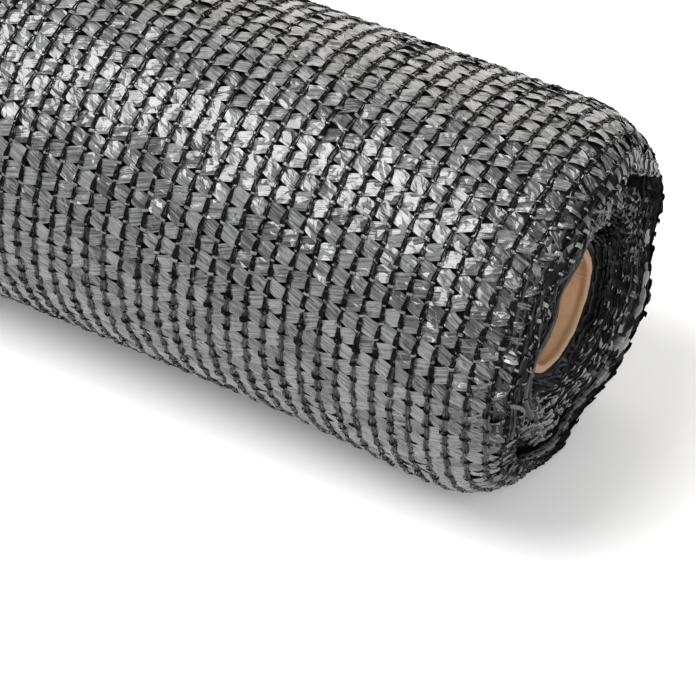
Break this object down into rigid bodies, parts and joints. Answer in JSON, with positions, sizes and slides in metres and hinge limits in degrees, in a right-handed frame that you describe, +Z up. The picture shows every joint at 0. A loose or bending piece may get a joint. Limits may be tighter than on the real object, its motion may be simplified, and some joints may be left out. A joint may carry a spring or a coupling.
{
  "type": "roll of shade cloth",
  "caption": "Roll of dark grey knitted shade cloth wound on a cardboard core tube, lying on its side, with uneven selvedges at its ends.",
  "frame": {"origin": "middle of the roll's box, on the surface that it rests on", "axes": "+X along the roll towards the end that the picture shows, +Z up, +Y across"},
  "size_m": [1.0098, 0.0832, 0.0809],
  "materials": {
    "shade_cloth": "glossy grey polyethylene tape knitted on near-black chains",
    "core_board": "plain brown spiral-wound board"
  },
  "bodies": {
    "root": {"wound_cloth": "shade_cloth", "core_tube": "core_board"}
  },
  "joints": []
}
